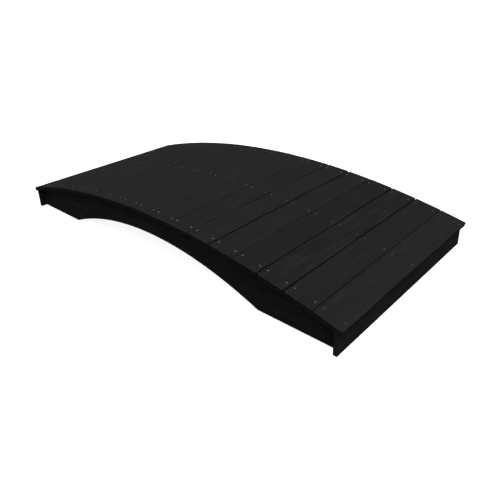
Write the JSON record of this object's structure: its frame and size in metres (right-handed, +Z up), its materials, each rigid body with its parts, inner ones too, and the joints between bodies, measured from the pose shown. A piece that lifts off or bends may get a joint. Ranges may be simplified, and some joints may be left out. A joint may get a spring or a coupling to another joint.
{
  "type": "arched plank footbridge",
  "caption": "Low arched garden footbridge without rails: cross planks on arched stringers with flat feet, closed by a board under the overhang at each end.",
  "frame": {"origin": "on the ground under the middle of the deck", "axes": "+X along the walkway towards the right end, +Y across it towards the rear, +Z up"},
  "size_m": [2.4646, 1.22, 0.2995],
  "materials": {
    "deck_timber": "black stained, planed, matt",
    "stringer_timber": "black stained, sawn, matt",
    "end_board_timber": "black stained, planed, matt",
    "deck_screws": "dull coated steel screw heads"
  },
  "bodies": {
    "root": {"deck_plank_01": "deck_timber", "deck_plank_02": "deck_timber", "deck_plank_03": "deck_timber", "deck_plank_04": "deck_timber", "deck_plank_05": "deck_timber", "deck_plank_06": "deck_timber", "deck_plank_07": "deck_timber", "deck_plank_08": "deck_timber", "deck_plank_09": "deck_timber", "deck_plank_10": "deck_timber", "deck_plank_11": "deck_timber", "deck_plank_12": "deck_timber", "deck_plank_13": "deck_timber", "deck_plank_14": "deck_timber", "deck_plank_15": "deck_timber", "deck_plank_16": "deck_timber", "deck_plank_17": "deck_timber", "front_stringer": "stringer_timber", "middle_stringer": "stringer_timber", "rear_stringer": "stringer_timber", "left_end_board": "end_board_timber", "right_end_board": "end_board_timber"}
  },
  "joints": []
}
